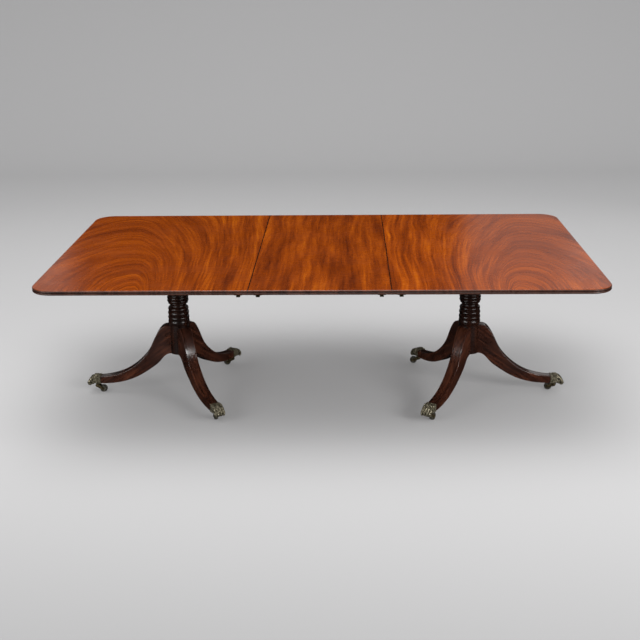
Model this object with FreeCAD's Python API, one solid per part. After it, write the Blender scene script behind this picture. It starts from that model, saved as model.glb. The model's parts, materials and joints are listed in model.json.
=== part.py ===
"""Double pedestal dining table with a removable centre leaf, in millimetres, +Z up.

The origin is on the floor under the middle of the top. Each pedestal is a turned
column on three sabre legs, and each leg ends in a brass lion-paw cap on a castor.
"""
import FreeCAD, Part
import math
import os

V = FreeCAD.Vector

# Table top: two end boards and a loose leaf, with a double reeded edge
TOP_LENGTH = 2390.0
TOP_WIDTH = 1330.0
TABLE_HEIGHT = 720.0
LEAF_LENGTH = 584.0
CORNER_RADIUS = 92.0
REED_COUNT = 2
REED_HEIGHT = 10.0
REED_ROUND = 4.2
SEAM_GAP = 0.4

# Loose tongues that line the boards up across each seam
PEG_LENGTH = 50.0
PEG_WIDTH = 60.0
PEG_THICK = 8.0
PEG_SPACING = 480.0
PEG_NOSE = 3.0

# Block and bearers under each end board
COLUMN_INSET = 504.0
BLOCK_LENGTH = 240.0
BLOCK_WIDTH = 170.0
BLOCK_THICK = 48.0
BEARER_WIDTH = 28.0
BEARER_DEPTH = 46.0
BEARER_TIP = 18.0
BEARER_TAPER = 110.0
BEARER_SEAM_ROOM = 60.0
BEARER_EDGE_ROOM = 175.0

# Turned column, from the top of the legs up to the block
COLUMN_RISE = 310.0
DRUM_RADIUS = 49.5
DRUM_RISE = 4.0
SHAFT_FOOT_RADIUS = 41.0
SHAFT_BELLY_RADIUS = 44.0
SHAFT_HEAD_RADIUS = 36.5
TENON_RADIUS = 26.0
TENON_SHORT = 4.0

# Rings of the column, each as start, middle and end radius past the drum, and height
LOWER_RINGS = (
    (-3.0, -3.0, -3.0, 3.0),
    (-1.6, 1.2, -1.2, 26.0),
    (-4.2, -4.2, -4.2, 3.5),
    (-0.8, 0.8, -3.0, 17.0),
    (-4.4, -4.4, -4.4, 2.5),
    (-3.0, 0.3, -3.0, 20.0),
    (-4.2, -4.2, -4.2, 3.0),
    (-3.8, -1.4, -4.4, 16.0),
    (-6.4, -11.6, -7.6, 18.0),
    (-4.6, -2.8, -4.6, 7.0),
    (-4.0, 0.9, -3.0, 15.0),
    (-3.0, 0.9, -4.0, 15.0),
    (-5.0, -4.0, -5.0, 6.0),
)
UPPER_RINGS = (
    (-10.0, -7.4, -10.0, 7.0),
    (-13.0, -14.4, -9.0, 16.0),
    (-4.0, 1.6, -4.0, 13.0),
)

# Sabre leg: its reach is measured from the column's axis
LEG_ROOT_HEIGHT = 135.0
LEG_ROOT_WIDTH = 55.0
LEG_TOE_WIDTH = 42.0
LEG_TOE_HEIGHT = 33.0
LEG_REACH = 397.0
LEG_ARRIS = 2.6
BEAD_WIDTH = 5.5
GROOVE_WIDTH = 4.5
GROOVE_DEPTH = 2.4

# The sweep of the leg's two edges, as shares of its reach and of its drop to the toe
SABRE_TOP_SHARES = ((0.108, 0.962), (0.160, 0.868), (0.221, 0.714), (0.291, 0.527),
                    (0.387, 0.365), (0.516, 0.214), (0.679, 0.091), (0.862, 0.022))
SABRE_FOOT_SHARES = ((0.055, 0.945), (0.142, 0.740), (0.271, 0.507), (0.415, 0.301),
                     (0.595, 0.123), (0.790, 0.024))

# Dovetail of the leg in the column
TAIL_DEPTH = 14.0
TAIL_NECK = 22.0
TAIL_WIDE = 30.0
TAIL_DROP = 14.0

# Iron plate under the column
STRAP_THICK = 3.0
STRAP_ARM = 26.0
STRAP_HUB = 24.0
STRAP_INSET = 2.5

# Brass lion-paw cap over the toe of the leg
SPIGOT_END_WALL = 2.0
SPIGOT_STEP = 2.2
CAP_PROUD = 1.2
SLEEVE_LENGTH = 30.0
RIM_LENGTH = 6.5
RIM_PROUD = 1.7
RIM_BEVEL = 1.3
CUFF_LENGTH = 9.0
CUFF_FLARE = 1.4
PAW_LENGTH = 34.0
PAW_WIDTH = 46.0
PAW_CORNER = 6.0
PAD_RISE = 14.0
PAD_SHORT = 11.0
TOE_COUNT = 4
TOE_PITCH = 11.4
TOE_SPLAY = 4.0
TOE_ROOT_RADIUS = 5.4
KNUCKLE_RADIUS = 7.6
KNUCKLE_OUT = 18.0
KNUCKLE_DROP = 13.5
TOE_TIP_RADIUS = 6.4
TOE_NEST = 0.3
PINTLE_SET = 20.0

# Castor
WHEEL_RADIUS = 18.0
WHEEL_WIDTH = 16.0
WHEEL_CROWN = 1.4
WHEEL_DISH = 1.6
WHEEL_HUB = 6.8
WHEEL_RIM = 3.6
AXLE_RADIUS = 3.0
AXLE_HEAD = 4.6
AXLE_HEAD_RISE = 1.3
HORN_BOSS_RADIUS = 8.0
HORN_ARM = 3.2
HORN_EYE = 6.4
HORN_DROP = 15.0
HORN_GAP = 4.0
YOKE_BACK = 5.0
YOKE_STEP = 3.0
SWEEP_ROOM = 3.0
BOSS_ROOM = 5.5
BOSS_RADIUS = 9.0
BOSS_RISE = 8.0
PINTLE_RADIUS = 4.0
PINTLE_HEAD = 6.5
PINTLE_HEAD_RISE = 2.5
PINTLE_POCKET = 4.5

# Forked leaf clip and its keepers
PRONG_SPACING = 80.0
PRONG_WIDTH = 10.0
PRONG_THICK = 6.0
PRONG_LENGTH = 62.0
PRONG_NOSE = 3.3
KEEPER_LENGTH = 18.0
KEEPER_WALL = 2.6
KEEPER_FLOOR = 3.5
KEEPER_EAR = 9.0
KEEPER_EAR_THICK = 2.2
KEEPER_SETBACK = 6.0

# Wood screws: shank radius and head radius, how deep each bites, and where they stand
BLOCK_SCREW = (2.6, 5.0)
BEARER_SCREW = (2.4, 4.6)
STRAP_SCREW = (1.9, 3.8)
CAP_SCREW = (1.4, 2.7)
KEEPER_SCREW = (1.5, 2.9)
BOARD_BITE = 12.0
STRAP_BITE = 15.0
CAP_BITE = 9.0
KEEPER_BITE = 10.0
BLOCK_SCREW_INSET = 28.0
BEARER_SCREW_INSET = 35.0

# Clearances
GLUE_FIT = 0.12
PRESS_FIT = 0.03
TURN_FIT = 0.2
RUN_GAP = 0.3
SLIDE_FIT = 0.3
SIDE_PLAY = 0.7

# Worked out from the sizes above
TOP_THICK = REED_COUNT * REED_HEIGHT
UNDERSIDE = TABLE_HEIGHT - TOP_THICK
BLOCK_BOTTOM = UNDERSIDE - BLOCK_THICK
LEG_TOP = BLOCK_BOTTOM - COLUMN_RISE
LEG_FOOT = LEG_TOP - LEG_ROOT_HEIGHT
SEAM_X = LEAF_LENGTH / 2
EDGE_X = TOP_LENGTH / 2
EDGE_Y = TOP_WIDTH / 2
COLUMN_X = EDGE_X - COLUMN_INSET
WHEEL_TOP = 2 * WHEEL_RADIUS
SOLE = WHEEL_TOP + SWEEP_ROOM
BOSS_BOTTOM = WHEEL_TOP + BOSS_ROOM
TOE_BOTTOM = BOSS_BOTTOM + BOSS_RISE
TOE_TOP = TOE_BOTTOM + LEG_TOE_HEIGHT
SPIGOT_BOTTOM = TOE_BOTTOM + SPIGOT_STEP
TRAIL = WHEEL_RADIUS + HORN_BOSS_RADIUS + HORN_GAP
PINTLE_X = LEG_REACH + PINTLE_SET
LEG_ROOT_X = DRUM_RADIUS - TAIL_DEPTH
SPIGOT_LENGTH = PINTLE_SET + PINTLE_HEAD + SIDE_PLAY + SPIGOT_END_WALL
ARM_INNER = WHEEL_WIDTH / 2 + SIDE_PLAY
ARM_OUTER = ARM_INNER + HORN_ARM
CLIP_TOP = UNDERSIDE - SLIDE_FIT
CLIP_BOTTOM = CLIP_TOP - PRONG_THICK
KEEPER_BOTTOM = CLIP_BOTTOM - SLIDE_FIT - KEEPER_FLOOR

# Where the legs stand, counter-clockwise from +X, and how far round each castor has swung at rest
LEGS = (
    ("left_outer", -1, 180.0, 172.0),
    ("left_front", -1, -60.0, 165.0),
    ("left_rear", -1, 60.0, 132.0),
    ("right_outer", 1, 0.0, 141.0),
    ("right_front", 1, -120.0, 178.0),
    ("right_rear", 1, 120.0, 34.0),
)


def box(x0, x1, y0, y1, z0, z1):
    return Part.makeBox(x1 - x0, y1 - y0, z1 - z0, V(x0, y0, z0))


def rod(radius, x, y, z0, z1):
    return Part.makeCylinder(radius, z1 - z0, V(x, y, z0))


def prism(points, along):
    """A straight-sided outline pushed along a vector."""
    return Part.Face(Part.makePolygon(list(points) + [points[0]])).extrude(along)


def joined(shapes):
    first, *others = shapes
    return first.fuse(others).removeSplitter() if others else first


def moved(shape, x=0.0, y=0.0, turn=0.0):
    """A copy turned about the vertical through the origin, then shifted."""
    copy = shape.copy()
    copy.rotate(V(0, 0, 0), V(0, 0, 1), turn)
    copy.translate(V(x, y, 0))
    return copy


def screw(size, at, direction, depth):
    """A countersunk screw whose flat head lies at a point, driven to a depth along a direction."""
    shank, head = size
    sink = head - shank
    cone = Part.makeCone(head, shank, sink, at, direction)
    start = at + V(direction).multiply(sink)
    return cone.fuse(Part.makeCylinder(shank, depth - sink, start, direction)).removeSplitter()


def turned(edges):
    """A solid of revolution about the vertical axis from outline edges in the XZ plane."""
    return Part.Face(Part.Wire(edges)).revolve(V(0, 0, 0), V(0, 0, 1), 360)


def rounded_section(x, width, z0, z1, corner):
    """A rectangle with round corners, upright and square to X."""
    y0, y1 = -width / 2, width / 2
    c = min(corner, (z1 - z0) / 2.2, width / 2.2)
    k = c * (1 - math.sqrt(0.5))
    line, arc = Part.LineSegment, Part.Arc
    curves = [
        line(V(x, y0 + c, z0), V(x, y1 - c, z0)),
        arc(V(x, y1 - c, z0), V(x, y1 - k, z0 + k), V(x, y1, z0 + c)),
        line(V(x, y1, z0 + c), V(x, y1, z1 - c)),
        arc(V(x, y1, z1 - c), V(x, y1 - k, z1 - k), V(x, y1 - c, z1)),
        line(V(x, y1 - c, z1), V(x, y0 + c, z1)),
        arc(V(x, y0 + c, z1), V(x, y0 + k, z1 - k), V(x, y0, z1 - c)),
        line(V(x, y0, z1 - c), V(x, y0, z0 + c)),
        arc(V(x, y0, z0 + c), V(x, y0 + k, z0 + k), V(x, y0 + c, z0)),
    ]
    return Part.Wire([curve.toShape() for curve in curves])


def end_outline(z):
    """The right end board seen from above, with both outer corners rounded."""
    x0, x1 = SEAM_X + SEAM_GAP / 2, EDGE_X
    c = CORNER_RADIUS
    k = c * (1 - math.sqrt(0.5))
    line, arc = Part.LineSegment, Part.Arc
    curves = [
        line(V(x0, -EDGE_Y, z), V(x1 - c, -EDGE_Y, z)),
        arc(V(x1 - c, -EDGE_Y, z), V(x1 - k, k - EDGE_Y, z), V(x1, c - EDGE_Y, z)),
        line(V(x1, c - EDGE_Y, z), V(x1, EDGE_Y - c, z)),
        arc(V(x1, EDGE_Y - c, z), V(x1 - k, EDGE_Y - k, z), V(x1 - c, EDGE_Y, z)),
        line(V(x1 - c, EDGE_Y, z), V(x0, EDGE_Y, z)),
        line(V(x0, EDGE_Y, z), V(x0, -EDGE_Y, z)),
    ]
    return Part.Wire([curve.toShape() for curve in curves])


def leaf_outline(z):
    x1 = SEAM_X - SEAM_GAP / 2
    corners = [V(-x1, -EDGE_Y, z), V(x1, -EDGE_Y, z), V(x1, EDGE_Y, z), V(-x1, EDGE_Y, z)]
    return Part.makePolygon(corners + [corners[0]])


def reeded_board(outline):
    """A board built up from reeds, each a slab rounded along its outside edges."""
    reeds = []
    for index in range(REED_COUNT):
        low = UNDERSIDE + index * REED_HEIGHT
        slab = Part.Face(outline(low)).extrude(V(0, 0, REED_HEIGHT))
        outside = []
        for edge in slab.Edges:
            level = edge.BoundBox.ZLength < REED_HEIGHT / 2
            crosswise = edge.BoundBox.XLength < SEAM_GAP
            at_seam = crosswise and abs(edge.CenterOfMass.x) < (SEAM_X + EDGE_X) / 2
            if level and not at_seam:
                outside.append(edge)
        reeds.append(slab.makeFillet(min(REED_ROUND, REED_HEIGHT / 2 - RUN_GAP), outside))
    return joined(reeds)


def peg_shapes(grow):
    """The tongues across both seams, or with a fit all round, their mortices."""
    middle = UNDERSIDE + TOP_THICK / 2
    shapes = []
    for side in (-1, 1):
        for row in (-1, 0, 1):
            x = side * SEAM_X
            y = row * PEG_SPACING
            reach = PEG_LENGTH / 2 + grow
            half = PEG_WIDTH / 2 + grow
            nose = PEG_NOSE
            plan = [
                V(x - reach, y - half + nose, 0), V(x - reach + nose, y - half, 0),
                V(x + reach - nose, y - half, 0), V(x + reach, y - half + nose, 0),
                V(x + reach, y + half - nose, 0), V(x + reach - nose, y + half, 0),
                V(x - reach + nose, y + half, 0), V(x - reach, y + half - nose, 0),
            ]
            thick = PEG_THICK + 2 * grow
            tongue = prism(plan, V(0, 0, thick))
            tongue.translate(V(0, 0, middle - thick / 2))
            shapes.append(tongue)
    return shapes


def bearer(side, row):
    """A batten beside the block, with its lower corners sloped off towards both ends."""
    x0 = SEAM_X + BEARER_SEAM_ROOM
    x1 = EDGE_X - BEARER_EDGE_ROOM
    low, tip = UNDERSIDE - BEARER_DEPTH, UNDERSIDE - BEARER_TIP
    profile = [
        V(x0, 0, UNDERSIDE), V(x0, 0, tip), V(x0 + BEARER_TAPER, 0, low),
        V(x1 - BEARER_TAPER, 0, low), V(x1, 0, tip), V(x1, 0, UNDERSIDE),
    ]
    batten = prism(profile, V(0, BEARER_WIDTH, 0))
    batten.translate(V(0, BLOCK_WIDTH / 2, 0))
    # The four battens are the same piece turned about the middle of the table or its long axis
    if row < 0:
        batten = batten.mirror(V(0, 0, 0), V(0, 1, 0))
    if side < 0:
        batten = batten.mirror(V(0, 0, 0), V(1, 0, 0))
    return batten


def bearer_screws():
    """Three screws up through each batten into the board."""
    x0 = SEAM_X + BEARER_SEAM_ROOM + BEARER_TAPER + BEARER_SCREW_INSET
    x1 = EDGE_X - BEARER_EDGE_ROOM - BEARER_TAPER - BEARER_SCREW_INSET
    y = (BLOCK_WIDTH + BEARER_WIDTH) / 2
    shapes = []
    for side in (-1, 1):
        for row in (-1, 1):
            for x in (x0, (x0 + x1) / 2, x1):
                at = V(side * x, row * y, UNDERSIDE - BEARER_DEPTH)
                shapes.append(screw(BEARER_SCREW, at, V(0, 0, 1), BEARER_DEPTH + BOARD_BITE))
    return shapes


def block_screws():
    """Four screws up through each block into the board, near its corners."""
    x_off = BLOCK_LENGTH / 2 - BLOCK_SCREW_INSET
    y_off = BLOCK_WIDTH / 2 - BLOCK_SCREW_INSET
    shapes = []
    for side in (-1, 1):
        for dx in (-x_off, x_off):
            for dy in (-y_off, y_off):
                at = V(side * COLUMN_X + dx, dy, BLOCK_BOTTOM)
                shapes.append(screw(BLOCK_SCREW, at, V(0, 0, 1), BLOCK_THICK + BOARD_BITE))
    return shapes


def column_outline():
    """Edges of half the column: drum, lower rings, shaft, upper rings and tenon."""
    points = [V(0, 0, LEG_FOOT), V(DRUM_RADIUS, 0, LEG_FOOT), V(DRUM_RADIUS, 0, LEG_TOP + DRUM_RISE)]
    edges = [Part.LineSegment(a, b).toShape() for a, b in zip(points, points[1:])]
    at = points[-1]

    def step_to(radius):
        nonlocal at
        there = V(radius, 0, at.z)
        if abs(there.x - at.x) > 1e-6:
            edges.append(Part.LineSegment(at, there).toShape())
        at = there

    def ring(start, middle, end, rise):
        nonlocal at
        step_to(start)
        there = V(end, 0, at.z + rise)
        if abs(middle - (start + end) / 2) < 1e-6:
            edges.append(Part.LineSegment(at, there).toShape())
        else:
            edges.append(Part.Arc(at, V(middle, 0, at.z + rise / 2), there).toShape())
        at = there

    for start, middle, end, rise in LOWER_RINGS:
        ring(DRUM_RADIUS + start, DRUM_RADIUS + middle, DRUM_RADIUS + end, rise)
    upper_rise = sum(rise for *_, rise in UPPER_RINGS)
    shaft_rise = BLOCK_BOTTOM - upper_rise - at.z
    ring(SHAFT_FOOT_RADIUS, SHAFT_BELLY_RADIUS, SHAFT_HEAD_RADIUS, shaft_rise)
    for start, middle, end, rise in UPPER_RINGS:
        ring(DRUM_RADIUS + start, DRUM_RADIUS + middle, DRUM_RADIUS + end, rise)
    step_to(TENON_RADIUS)
    ring(TENON_RADIUS, TENON_RADIUS, TENON_RADIUS, BLOCK_THICK - TENON_SHORT)
    step_to(0.0)
    edges.append(Part.LineSegment(at, points[0]).toShape())
    return edges


def tail(grow):
    """The dovetail on the leg's inner end, or with a fit all round, its socket."""
    inner = DRUM_RADIUS - TAIL_DEPTH - grow
    outer = DRUM_RADIUS + TAIL_DEPTH / 2
    wide, neck = TAIL_WIDE / 2 + grow, TAIL_NECK / 2 + grow
    low = LEG_FOOT - grow
    top = LEG_TOP - TAIL_DROP + grow
    plan = [
        V(inner, -wide, low), V(DRUM_RADIUS, -neck, low), V(outer, -neck, low),
        V(outer, neck, low), V(DRUM_RADIUS, neck, low), V(inner, wide, low),
    ]
    return prism(plan, V(0, 0, top - low))


def column():
    shape = turned(column_outline())
    for angle in (0.0, 120.0, 240.0):
        shape = shape.cut(moved(tail(GLUE_FIT), turn=angle))
    return shape


def sabre_curve(shares, root, toe, sink=0.0):
    """A smooth edge of the leg from inside the drum to the toe, sunk square to itself by a depth."""
    run, drop = toe.x - DRUM_RADIUS, root.z - toe.z
    points = [root]
    points += [V(DRUM_RADIUS + u * run, 0, toe.z + v * drop) for u, v in shares]
    points.append(toe)
    curve = Part.BSplineCurve()
    curve.interpolate(points)
    if sink:
        ways = [curve.tangent(curve.parameter(point))[0] for point in points]
        curve = Part.BSplineCurve()
        curve.interpolate([p + V(w.z, 0, -w.x).normalize().multiply(sink) for p, w in zip(points, ways)])
    return curve


def leg_top_edge(sink=0.0):
    return sabre_curve(SABRE_TOP_SHARES, V(LEG_ROOT_X, 0, LEG_TOP), V(LEG_REACH, 0, TOE_TOP), sink)


def leg_foot_edge():
    return sabre_curve(SABRE_FOOT_SHARES, V(LEG_ROOT_X, 0, LEG_FOOT), V(LEG_REACH, 0, TOE_BOTTOM))


def leg_half_width(x):
    share = (x - DRUM_RADIUS) / (LEG_REACH - DRUM_RADIUS)
    return (LEG_ROOT_WIDTH + share * (LEG_TOE_WIDTH - LEG_ROOT_WIDTH)) / 2


def plan_strip(inset, width, x0, x1, height):
    """A strip that runs along the leg's side, a given inset from it, full height."""
    near, far = leg_half_width(x0) - inset, leg_half_width(x1) - inset
    plan = [V(x0, near - width, 0), V(x1, far - width, 0), V(x1, far, 0), V(x0, near, 0)]
    return prism(plan, V(0, 0, height))


def leg_blank():
    """The sawn leg: its side outline, tapered in plan, with the two upper corners eased."""
    edges = [
        Part.LineSegment(V(LEG_ROOT_X, 0, LEG_FOOT), V(LEG_ROOT_X, 0, LEG_TOP)).toShape(),
        leg_top_edge().toShape(),
        Part.LineSegment(V(LEG_REACH, 0, TOE_TOP), V(LEG_REACH, 0, TOE_BOTTOM)).toShape(),
        leg_foot_edge().toShape(),
    ]
    wide = LEG_ROOT_WIDTH + LEG_TOE_WIDTH
    side = Part.Face(Part.Wire(edges)).extrude(V(0, wide, 0))
    side.translate(V(0, -wide / 2, 0))
    near, far = leg_half_width(LEG_ROOT_X), leg_half_width(LEG_REACH)
    plan = [V(LEG_ROOT_X, -near, 0), V(LEG_REACH, -far, 0), V(LEG_REACH, far, 0), V(LEG_ROOT_X, near, 0)]
    blank = side.common(prism(plan, V(0, 0, LEG_TOP + LEG_ROOT_WIDTH)))
    eased = []
    for edge in blank.Edges:
        span = edge.BoundBox
        lengthwise = span.XLength > (LEG_REACH - DRUM_RADIUS) / 2
        if lengthwise and span.ZMax > (LEG_TOP + LEG_FOOT) / 2:
            eased.append(edge)
    return blank.makeFillet(LEG_ARRIS, eased)


def leg_grooves():
    """Two grooves down the leg's outer face, each leaving a bead along the edge."""
    sunk = leg_top_edge(GROOVE_DEPTH)
    first, last = sunk.StartPoint, sunk.EndPoint
    above = LEG_TOP + LEG_ROOT_WIDTH
    past = LEG_REACH + RIM_LENGTH
    corners = [last, V(past, 0, last.z), V(past, 0, above), V(first.x, 0, above), first]
    edges = [sunk.toShape()]
    edges += [Part.LineSegment(a, b).toShape() for a, b in zip(corners, corners[1:])]
    region = Part.Face(Part.Wire(edges)).extrude(V(0, LEG_ROOT_WIDTH, 0))
    groove = region.common(plan_strip(BEAD_WIDTH, GROOVE_WIDTH, first.x, past, above))
    return [groove, groove.mirror(V(0, 0, 0), V(0, 1, 0))]


def spigot(grow):
    """The reduced end of the leg inside the cap, or with a fit all round, its cavity."""
    half = LEG_TOE_WIDTH / 2 - SPIGOT_STEP + grow
    low, high = SPIGOT_BOTTOM - grow, TOE_TOP - SPIGOT_STEP + grow
    return box(LEG_REACH - SPIGOT_STEP, LEG_REACH + SPIGOT_LENGTH + grow, -half, half, low, high)


def cap_screws():
    """One screw through each cheek of the cap into the toe."""
    x = LEG_REACH + (RIM_LENGTH + PINTLE_SET) / 2
    z = (TOE_TOP + TOE_BOTTOM) / 2
    half = LEG_TOE_WIDTH / 2 + CAP_PROUD
    depth = CAP_PROUD + SPIGOT_STEP + CAP_BITE
    return [screw(CAP_SCREW, V(x, side * half, z), V(0, -side, 0), depth) for side in (-1, 1)]


def leg():
    """One leg along +X: blank, grooves, cope against the drum, dovetail and spigot."""
    shape = leg_blank().cut(leg_grooves())
    shape = shape.cut(rod(DRUM_RADIUS + GLUE_FIT, 0, 0, 0, LEG_TOP + LEG_ROOT_WIDTH))
    shape = joined([shape, tail(0.0), spigot(0.0)])
    pocket = rod(PINTLE_HEAD + SIDE_PLAY, PINTLE_X, 0, 0, SPIGOT_BOTTOM + PINTLE_POCKET)
    return shape.cut([pocket] + cap_screws())


def tapered_ball(a, b, ra, rb):
    """Two balls and the cone that touches both, as one solid of revolution about their common line."""
    way = b - a
    lean = (ra - rb) / way.Length
    along = V(way).normalize()
    across = V(along.z, 0, -along.x)

    def on(centre, radius, share):
        return centre + along * (radius * share) + across * (radius * math.sqrt(1 - share * share))

    def mid(centre, radius, first, last):
        return on(centre, radius, math.cos((math.acos(first) + math.acos(last)) / 2))

    edges = [
        Part.Arc(on(a, ra, -1), mid(a, ra, -1, lean), on(a, ra, lean)).toShape(),
        Part.LineSegment(on(a, ra, lean), on(b, rb, lean)).toShape(),
        Part.Arc(on(b, rb, lean), mid(b, rb, lean, 1), on(b, rb, 1)).toShape(),
        Part.LineSegment(on(b, rb, 1), on(a, ra, -1)).toShape(),
    ]
    return Part.Face(Part.Wire(edges)).revolve(a, along, 360)


def toe():
    """One toe in the middle plane: a root under the cuff, a raised knuckle and a tip on the sole."""
    back = LEG_REACH + SLEEVE_LENGTH
    high = TOE_TOP + CAP_PROUD
    root = V(back, 0, high - TOE_ROOT_RADIUS - CUFF_FLARE)
    knuckle = V(back + KNUCKLE_OUT, 0, high - KNUCKLE_DROP)
    tip = V(back + PAW_LENGTH - TOE_TIP_RADIUS, 0, SOLE + TOE_TIP_RADIUS - CAP_PROUD)
    upper = tapered_ball(root, knuckle, TOE_ROOT_RADIUS, KNUCKLE_RADIUS)
    lower = tapered_ball(knuckle, tip, KNUCKLE_RADIUS - TOE_NEST, TOE_TIP_RADIUS)
    return joined([upper, lower])


def paw():
    """The paw in front of the sleeve: a fur cuff, a pad and four knuckled toes splayed over it."""
    half = LEG_TOE_WIDTH / 2 + CAP_PROUD
    back = LEG_REACH + SLEEVE_LENGTH
    low, high = TOE_BOTTOM - CAP_PROUD, TOE_TOP + CAP_PROUD
    wide = 2 * (half + CUFF_FLARE)
    cuff = Part.makeLoft([
        rounded_section(back - CUFF_LENGTH, 2 * half, low, high, CUFF_FLARE),
        rounded_section(back, wide, low - CUFF_FLARE, high + CUFF_FLARE, CUFF_FLARE),
    ], True, True)
    front = back + PAW_LENGTH - PAD_SHORT
    pad = Part.makeLoft([
        rounded_section(back - CUFF_LENGTH, 2 * half, low, high - PAW_CORNER, PAW_CORNER),
        rounded_section(back + KNUCKLE_OUT / 2, PAW_WIDTH, SOLE, high - PAW_CORNER, PAW_CORNER),
        rounded_section(front, PAW_WIDTH, SOLE, SOLE + PAD_RISE, PAW_CORNER),
    ], True, True)
    one_toe = toe()
    toes = []
    for index in range(TOE_COUNT):
        place = index - (TOE_COUNT - 1) / 2
        one = one_toe.copy()
        one.rotate(V(back, 0, 0), V(0, 0, 1), place * TOE_SPLAY)
        one.translate(V(0, place * TOE_PITCH, 0))
        toes.append(one)
    floor = box(0, 2 * LEG_REACH, -LEG_REACH, LEG_REACH, 0, SOLE)
    return joined([cuff, pad] + toes).cut(floor)


def paw_cap():
    """The cast cap: sleeve with a beaded rim, paw, and a boss below for the castor's pin."""
    half = LEG_TOE_WIDTH / 2 + CAP_PROUD
    low, high = TOE_BOTTOM - CAP_PROUD, TOE_TOP + CAP_PROUD
    sleeve = box(LEG_REACH, LEG_REACH + SLEEVE_LENGTH, -half, half, low, high)
    edge = half + RIM_PROUD
    rim = box(LEG_REACH, LEG_REACH + RIM_LENGTH, -edge, edge, low - RIM_PROUD, high + RIM_PROUD)
    rim = rim.makeChamfer(RIM_BEVEL, rim.Edges)
    boss = rod(BOSS_RADIUS, PINTLE_X, 0, BOSS_BOTTOM, TOE_BOTTOM)
    cap = joined([sleeve, rim, boss, paw()])
    bore = rod(PINTLE_RADIUS + TURN_FIT, PINTLE_X, 0, 0, TOE_TOP - LEG_TOE_HEIGHT / 2)
    return cap.cut([spigot(GLUE_FIT), bore] + cap_screws())


def horn_arm():
    """One cheek of the horn: a link from below the boss to the eye on the axle."""
    top = BOSS_BOTTOM - RUN_GAP
    a = V(0, 0, top - HORN_DROP / 2)
    b = V(TRAIL, 0, WHEEL_RADIUS)
    ra, rb = HORN_DROP / 2, HORN_EYE
    span = (b - a).Length
    heading = math.atan2(b.z - a.z, b.x - a.x)
    lean = math.acos((ra - rb) / span)

    def on(centre, radius, angle):
        return centre + V(radius * math.cos(angle), 0, radius * math.sin(angle))

    up, down = heading + lean, heading - lean
    edges = [
        Part.LineSegment(on(a, ra, up), on(b, rb, up)).toShape(),
        Part.Arc(on(b, rb, up), on(b, rb, heading), on(b, rb, down)).toShape(),
        Part.LineSegment(on(b, rb, down), on(a, ra, down)).toShape(),
        Part.Arc(on(a, ra, down), on(a, ra, heading + math.pi), on(a, ra, up)).toShape(),
    ]
    return Part.Face(Part.Wire(edges)).extrude(V(0, HORN_ARM, 0))


def castor_horn():
    """The horn trailing along +X from its pin at the origin: boss, yoke, two cheeks and pin."""
    top = BOSS_BOTTOM - RUN_GAP
    low = top - HORN_DROP
    boss = rod(HORN_BOSS_RADIUS, 0, 0, low, top)
    reach = TRAIL - WHEEL_RADIUS - HORN_GAP
    yoke = box(-YOKE_BACK, reach, -ARM_OUTER, ARM_OUTER, low, top - YOKE_STEP)
    arms = []
    for y in (ARM_INNER, -ARM_OUTER):
        arm = horn_arm()
        arm.translate(V(0, y, 0))
        arms.append(arm)
    head_low = SPIGOT_BOTTOM - GLUE_FIT + RUN_GAP
    pin = rod(PINTLE_RADIUS, 0, 0, low, head_low + PINTLE_HEAD_RISE)
    head = rod(PINTLE_HEAD, 0, 0, head_low, head_low + PINTLE_HEAD_RISE)
    horn = joined([boss, yoke] + arms + [pin, head])
    wide = 2 * ARM_OUTER
    start = V(TRAIL, -wide, WHEEL_RADIUS)
    eye = Part.makeCylinder(AXLE_RADIUS + PRESS_FIT, 2 * wide, start, V(0, 1, 0))
    return horn.cut(eye)


def castor_wheel():
    """A crowned roller with a dished face each side, turned about its axle."""
    bore, half = AXLE_RADIUS + TURN_FIT, WHEEL_WIDTH / 2
    edge, dish = WHEEL_RADIUS - WHEEL_CROWN, half - WHEEL_DISH
    rim = edge - WHEEL_RIM
    slope = WHEEL_DISH / 2
    points = [
        V(bore, 0, -half), V(WHEEL_HUB, 0, -half), V(WHEEL_HUB + slope, 0, -dish),
        V(rim - slope, 0, -dish), V(rim, 0, -half), V(edge, 0, -half),
    ]
    upper = [V(p.x, 0, -p.z) for p in reversed(points)]
    edges = [Part.LineSegment(a, b).toShape() for a, b in zip(points, points[1:])]
    edges.append(Part.Arc(points[-1], V(WHEEL_RADIUS, 0, 0), upper[0]).toShape())
    edges += [Part.LineSegment(a, b).toShape() for a, b in zip(upper, upper[1:])]
    edges.append(Part.LineSegment(upper[-1], points[0]).toShape())
    wheel = turned(edges)
    wheel.rotate(V(0, 0, 0), V(1, 0, 0), 90)
    wheel.translate(V(TRAIL, 0, WHEEL_RADIUS))
    return wheel


def castor_axle():
    """The riveted pin through both cheeks, with a low head each end."""
    pin = Part.makeCylinder(AXLE_RADIUS, 2 * ARM_OUTER, V(TRAIL, -ARM_OUTER, WHEEL_RADIUS), V(0, 1, 0))
    shapes = [pin]
    for side in (-1, 1):
        at = V(TRAIL, side * ARM_OUTER, WHEEL_RADIUS)
        shapes.append(Part.makeCone(AXLE_HEAD, AXLE_RADIUS, AXLE_HEAD_RISE, at, V(0, side, 0)))
    return joined(shapes)


def clip_tip_y():
    return -EDGE_Y + KEEPER_SETBACK


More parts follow.
